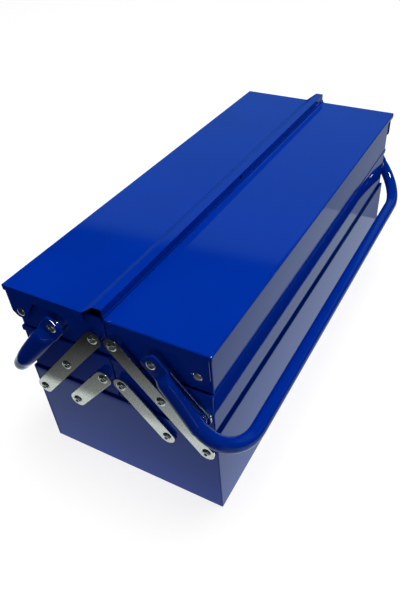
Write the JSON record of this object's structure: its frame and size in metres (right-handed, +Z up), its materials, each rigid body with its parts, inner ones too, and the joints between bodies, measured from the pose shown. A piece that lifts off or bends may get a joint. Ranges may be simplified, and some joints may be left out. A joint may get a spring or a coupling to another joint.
{
  "type": "cantilever tool box",
  "caption": "Sheet-metal tool box with a deep base, stacked trays on flat swinging links, two hinged lids meeting under a hollow ridge, and two bent-tube handles.",
  "frame": {"origin": "centre of the base on the surface the box stands on", "axes": "+X along the length, +Z up, the seam between the halves in the plane Y = 0, the rear half on +Y with the ridge"},
  "size_m": [0.5708, 0.286, 0.237],
  "materials": {
    "blue_paint": "gloss",
    "handle_paint": "gloss",
    "zinc_links": "satin",
    "zinc_rivets": "satin"
  },
  "bodies": {
    "base": {"base_box": "blue_paint", "base_rivets": "zinc_rivets", "base_washers": "zinc_rivets"},
    "front_long_links": {"long_link_front_left": "zinc_links", "long_link_front_right": "zinc_links"},
    "front_short_links": {"short_link_front_left": "zinc_links", "short_link_front_right": "zinc_links"},
    "front_upper_links": {"upper_link_front_left": "zinc_links", "upper_link_front_right": "zinc_links"},
    "front_lower_tray": {"lower_tray_front": "blue_paint", "lower_dividers_front": "blue_paint", "lower_rivets_front": "zinc_rivets", "lower_spacers_front": "zinc_rivets"},
    "front_upper_tray": {"upper_tray_front": "blue_paint", "upper_dividers_front": "blue_paint", "upper_rivets_front": "zinc_rivets", "upper_spacers_front": "zinc_rivets", "lid_rivets_front": "zinc_rivets", "lid_spacers_front": "zinc_rivets", "arm_washers_front": "zinc_rivets"},
    "front_lid": {"lid_front": "blue_paint"},
    "front_handle": {"handle_front": "handle_paint"},
    "rear_long_links": {"long_link_rear_left": "zinc_links", "long_link_rear_right": "zinc_links"},
    "rear_short_links": {"short_link_rear_left": "zinc_links", "short_link_rear_right": "zinc_links"},
    "rear_upper_links": {"upper_link_rear_left": "zinc_links", "upper_link_rear_right": "zinc_links"},
    "rear_lower_tray": {"lower_tray_rear": "blue_paint", "lower_dividers_rear": "blue_paint", "lower_rivets_rear": "zinc_rivets", "lower_spacers_rear": "zinc_rivets"},
    "rear_upper_tray": {"upper_tray_rear": "blue_paint", "upper_dividers_rear": "blue_paint", "upper_rivets_rear": "zinc_rivets", "upper_spacers_rear": "zinc_rivets", "lid_rivets_rear": "zinc_rivets", "lid_spacers_rear": "zinc_rivets", "arm_washers_rear": "zinc_rivets"},
    "rear_lid": {"lid_rear": "blue_paint"},
    "rear_handle": {"handle_rear": "handle_paint"}
  },
  "joints": [
    {"name": "front_swing", "type": "hinge", "parent": "base", "child": "front_long_links", "pos_m": [0, -0.0993, 0.0935], "axis": [1, 0, 0], "range_deg": [0, 80.6]},
    {"name": "front_short_swing", "type": "hinge", "parent": "base", "child": "front_short_links", "pos_m": [0, -0.055, 0.0935], "axis": [1, 0, 0], "range_deg": [0, 80.6]},
    {"name": "front_lower_level", "type": "hinge", "parent": "front_long_links", "child": "front_lower_tray", "pos_m": [0, -0.055, 0.1457], "axis": [1, 0, 0], "range_deg": [-80.6, 0]},
    {"name": "front_upper_level", "type": "hinge", "parent": "front_long_links", "child": "front_upper_tray", "pos_m": [0, -0.0107, 0.1979], "axis": [1, 0, 0], "range_deg": [-80.6, 0]},
    {"name": "front_upper_swing", "type": "hinge", "parent": "front_lower_tray", "child": "front_upper_links", "pos_m": [0, -0.0993, 0.1457], "axis": [1, 0, 0], "range_deg": [0, 80.6]},
    {"name": "front_lid_pivot", "type": "hinge", "parent": "front_upper_tray", "child": "front_lid", "pos_m": [0, -0.0975, 0.1977], "axis": [1, 0, 0], "range_deg": [0, 110]},
    {"name": "front_handle_pivot", "type": "hinge", "parent": "front_upper_tray", "child": "front_handle", "pos_m": [0, -0.055, 0.1979], "axis": [-1, 0, 0], "range_deg": [0, 161]},
    {"name": "rear_swing", "type": "hinge", "parent": "base", "child": "rear_long_links", "pos_m": [0, 0.0993, 0.0935], "axis": [-1, 0, 0], "range_deg": [0, 80.6]},
    {"name": "rear_short_swing", "type": "hinge", "parent": "base", "child": "rear_short_links", "pos_m": [0, 0.055, 0.0935], "axis": [-1, 0, 0], "range_deg": [0, 80.6]},
    {"name": "rear_lower_level", "type": "hinge", "parent": "rear_long_links", "child": "rear_lower_tray", "pos_m": [0, 0.055, 0.1457], "axis": [-1, 0, 0], "range_deg": [-80.6, 0]},
    {"name": "rear_upper_level", "type": "hinge", "parent": "rear_long_links", "child": "rear_upper_tray", "pos_m": [0, 0.0107, 0.1979], "axis": [-1, 0, 0], "range_deg": [-80.6, 0]},
    {"name": "rear_upper_swing", "type": "hinge", "parent": "rear_lower_tray", "child": "rear_upper_links", "pos_m": [0, 0.0993, 0.1457], "axis": [-1, 0, 0], "range_deg": [0, 80.6]},
    {"name": "rear_lid_pivot", "type": "hinge", "parent": "rear_upper_tray", "child": "rear_lid", "pos_m": [0, 0.0975, 0.1977], "axis": [-1, 0, 0], "range_deg": [0, 110]},
    {"name": "rear_handle_pivot", "type": "hinge", "parent": "rear_upper_tray", "child": "rear_handle", "pos_m": [0, 0.055, 0.1979], "axis": [1, 0, 0], "range_deg": [0, 161]}
  ],
  "couplings": [
    {"joint": "front_short_swing", "follows": "front_swing", "ratio": 1},
    {"joint": "front_lower_level", "follows": "front_swing", "ratio": -1},
    {"joint": "front_upper_level", "follows": "front_swing", "ratio": -1},
    {"joint": "front_upper_swing", "follows": "front_swing", "ratio": 1},
    {"joint": "rear_short_swing", "follows": "rear_swing", "ratio": 1},
    {"joint": "rear_lower_level", "follows": "rear_swing", "ratio": -1},
    {"joint": "rear_upper_level", "follows": "rear_swing", "ratio": -1},
    {"joint": "rear_upper_swing", "follows": "rear_swing", "ratio": 1}
  ]
}
